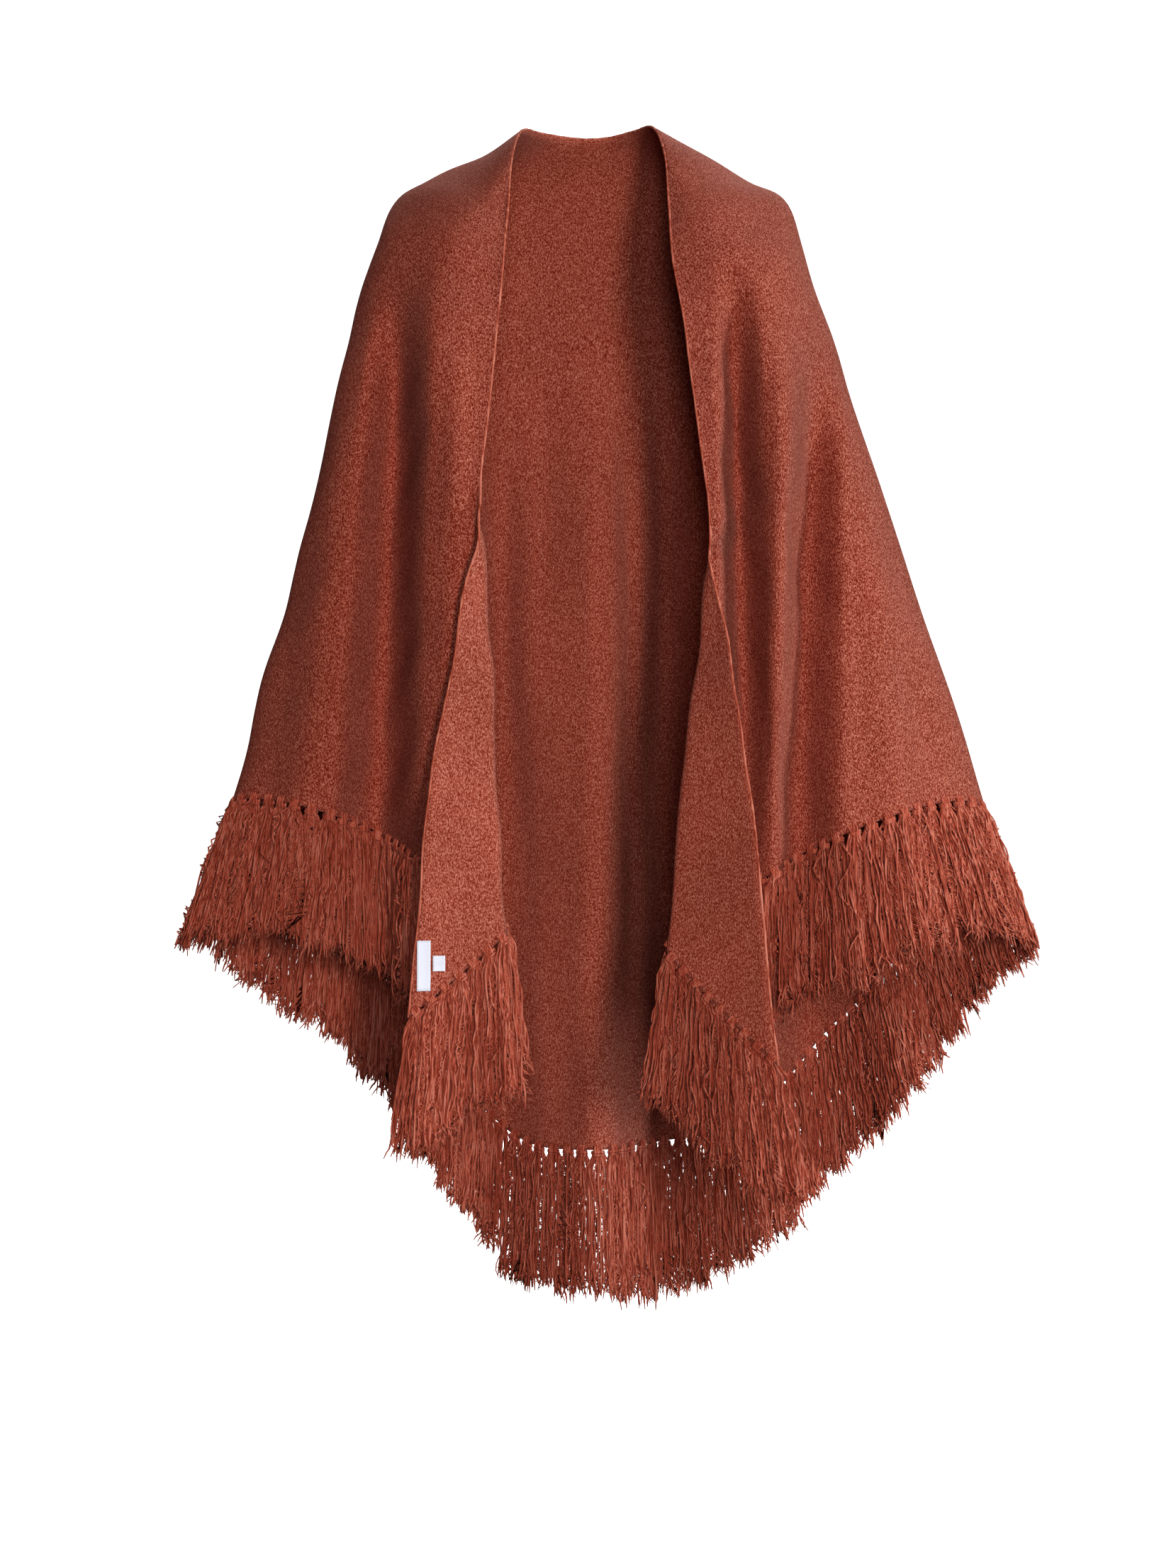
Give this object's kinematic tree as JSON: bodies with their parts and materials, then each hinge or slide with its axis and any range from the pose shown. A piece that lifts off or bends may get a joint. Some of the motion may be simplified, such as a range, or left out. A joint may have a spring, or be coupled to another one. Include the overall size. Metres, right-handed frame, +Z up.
{
  "type": "fringed shawl cape",
  "caption": "Fine knitted shawl cape with turned back front edges and a long knotted fringe, filled out as worn open at the front",
  "frame": {"origin": "middle of the shoulder line, between the two points where the long edge passes the neck", "axes": "+Z up as worn, the open front faces -Y, +X to the right in the picture, which is the wearer's left"},
  "size_m": [0.8337, 0.4303, 1.1909],
  "materials": {
    "knit": "heathered knit with a soft nap",
    "fringe_yarn": "soft plied yarn",
    "label_tape": "woven tape"
  },
  "bodies": {
    "root": {"shawl_back": "knit", "shawl_front_left": "knit", "shawl_front_right": "knit", "fringe_edge_left": "fringe_yarn", "fringe_front_left_inner": "fringe_yarn", "fringe_front_left_outer": "fringe_yarn", "fringe_side_left": "fringe_yarn", "fringe_back_left_outer": "fringe_yarn", "fringe_back_left_inner": "fringe_yarn", "fringe_back_right_inner": "fringe_yarn", "fringe_back_right_outer": "fringe_yarn", "fringe_side_right": "fringe_yarn", "fringe_front_right_outer": "fringe_yarn", "fringe_front_right_inner": "fringe_yarn", "fringe_edge_right": "fringe_yarn", "label_woven_blank": "label_tape", "tag_small_blank": "label_tape"}
  },
  "joints": []
}
